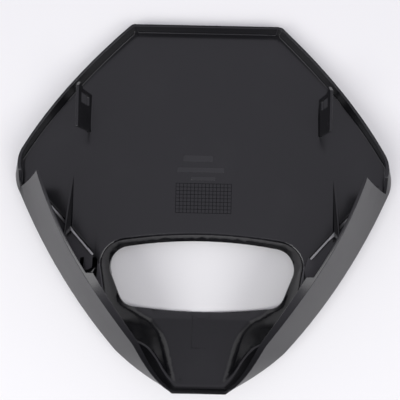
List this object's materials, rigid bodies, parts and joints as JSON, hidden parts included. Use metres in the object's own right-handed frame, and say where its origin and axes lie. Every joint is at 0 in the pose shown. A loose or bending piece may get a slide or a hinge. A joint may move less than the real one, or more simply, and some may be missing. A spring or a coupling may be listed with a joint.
{
  "type": "motorcycle headlight cowl",
  "caption": "Moulded black headlight cowl with a raked upper panel, inward-leaning wings, a lamp window and a tapering chin; covers the front of a light motorcycle.",
  "frame": {"origin": "middle of the cowl's width and length, on the surface that it lies on, outer face down", "axes": "+X across the cowl to the right as seen from its open rear side, +Y towards its top edge, +Z out of its open rear side"},
  "size_m": [0.298, 0.2914, 0.0807],
  "materials": {
    "black_plastic": "satin"
  },
  "bodies": {
    "root": {"cowl": "black_plastic"}
  },
  "joints": []
}
